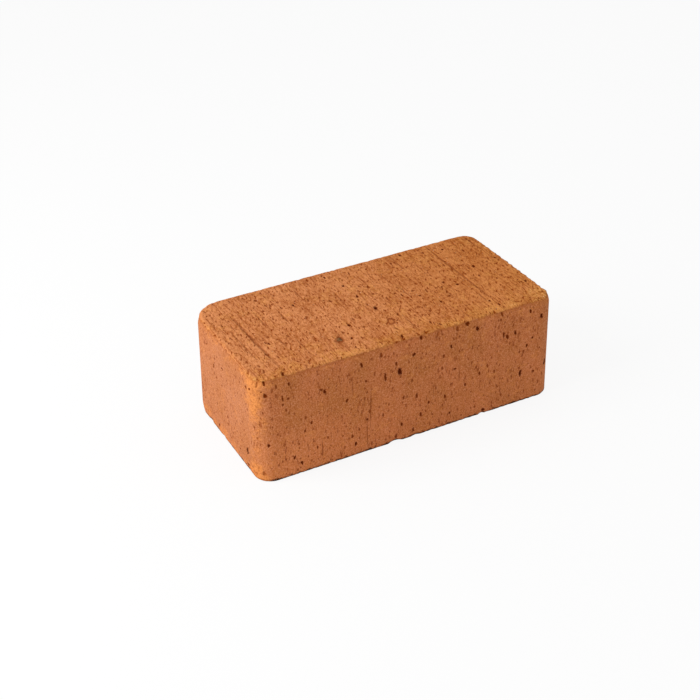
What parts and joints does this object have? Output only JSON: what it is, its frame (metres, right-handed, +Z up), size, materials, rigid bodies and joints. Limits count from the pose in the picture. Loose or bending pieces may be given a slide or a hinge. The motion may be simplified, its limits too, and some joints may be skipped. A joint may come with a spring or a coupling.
{
  "type": "high alumina firebrick",
  "caption": "Solid rectangular refractory brick with flat wire-cut beds, rounded upright edges and a rolled upper arris, for lining and walling hot chambers.",
  "frame": {"origin": "centre of the lower bed face, on the surface that the brick lies on", "axes": "+X along the length, +Y across the width, +Z up through the thickness, out of the upper bed face"},
  "size_m": [0.23, 0.114, 0.08],
  "materials": {
    "fired_clay": "unglazed orange-brown fired body, matt, pitted and drag-marked by the wire"
  },
  "bodies": {
    "root": {"firebrick": "fired_clay"}
  },
  "joints": []
}
